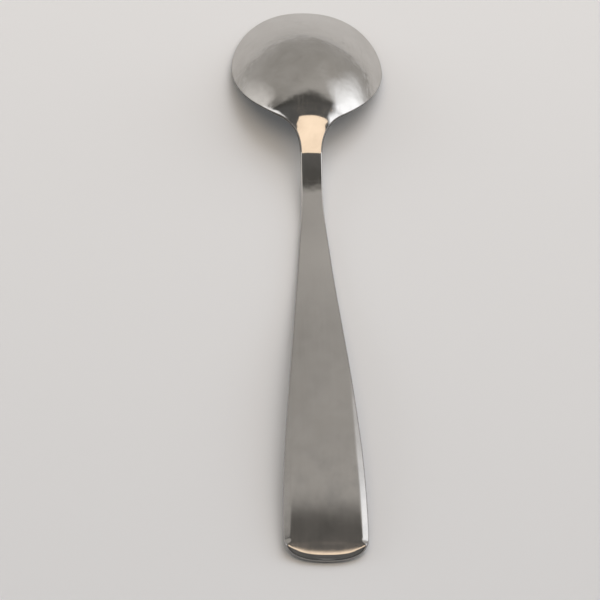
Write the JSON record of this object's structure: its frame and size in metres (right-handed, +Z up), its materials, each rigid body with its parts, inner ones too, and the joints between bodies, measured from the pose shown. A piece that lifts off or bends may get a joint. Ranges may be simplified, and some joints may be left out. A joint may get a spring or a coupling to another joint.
{
  "type": "youth spoon",
  "caption": "Plain stainless youth spoon with an oval bowl, a narrow polished neck and a flared satin handle with a rounded end.",
  "frame": {"origin": "on the table, under the middle of the spoon's length and width", "axes": "+Z up with the spoon lying face down, +Y along the spoon towards the tip of the bowl"},
  "size_m": [0.0318, 0.149, 0.0119],
  "materials": {
    "bowl_steel": "worn mirror polish with fine scratches",
    "neck_steel": "mirror polish",
    "handle_steel": "satin, finely brushed along the handle"
  },
  "bodies": {
    "root": {"bowl": "bowl_steel", "neck": "neck_steel", "handle": "handle_steel"}
  },
  "joints": []
}
